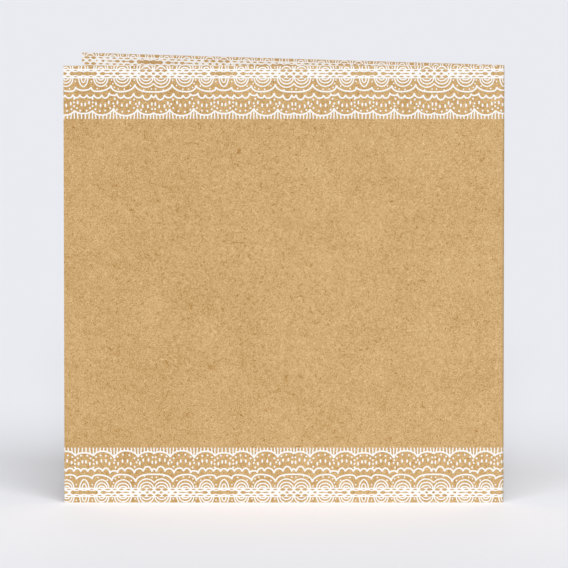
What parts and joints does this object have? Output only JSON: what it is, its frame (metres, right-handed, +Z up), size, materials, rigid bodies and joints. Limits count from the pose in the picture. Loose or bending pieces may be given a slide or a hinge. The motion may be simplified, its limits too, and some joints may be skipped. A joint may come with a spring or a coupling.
{
  "type": "invitation card",
  "caption": "Square card folded once from kraft board, standing open on its bottom edges with a white lace border along its top and bottom.",
  "frame": {"origin": "middle of the standing card's footprint, on the surface it stands on", "axes": "+Z up along the fold, -Y out of the front leaf's outer face, +X towards the fold"},
  "size_m": [0.14, 0.0394, 0.14],
  "materials": {
    "kraft_board": "matte"
  },
  "bodies": {
    "root": {"folded_card": "kraft_board"}
  },
  "joints": []
}
